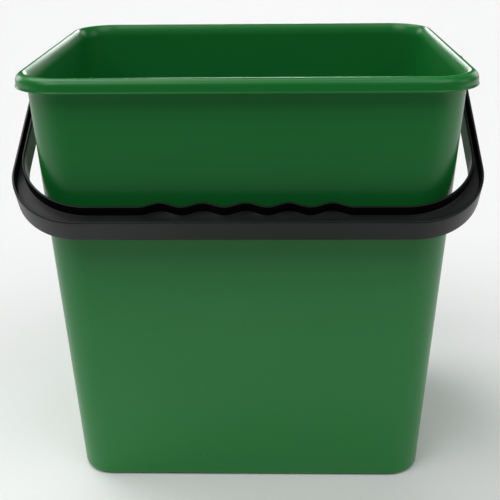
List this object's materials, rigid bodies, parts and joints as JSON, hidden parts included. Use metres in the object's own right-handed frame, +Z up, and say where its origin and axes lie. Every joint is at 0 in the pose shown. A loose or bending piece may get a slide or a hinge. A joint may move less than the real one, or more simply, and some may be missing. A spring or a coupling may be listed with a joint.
{
  "type": "florist bucket",
  "caption": "Tapered rectangular florist bucket in green plastic with a turned-out rim and a black swinging bail handle with a finger grip.",
  "frame": {"origin": "centre of the flat underside that the bucket stands on", "axes": "+Z up through the open mouth, +X along the handle's pivot line, -Y towards the front wall that the grip hangs against"},
  "size_m": [0.261, 0.2154, 0.254],
  "materials": {
    "green_plastic": "satin to gloss moulded polypropylene",
    "black_plastic": "satin moulded polypropylene"
  },
  "bodies": {
    "bucket": {"bucket_body": "green_plastic"},
    "handle": {"bail_handle": "black_plastic"}
  },
  "joints": [
    {"name": "handle_swing", "type": "hinge", "parent": "bucket", "child": "handle", "pos_m": [0, 0, 0.238], "axis": [-1, 0, 0], "range_deg": [0, 240.7]}
  ]
}
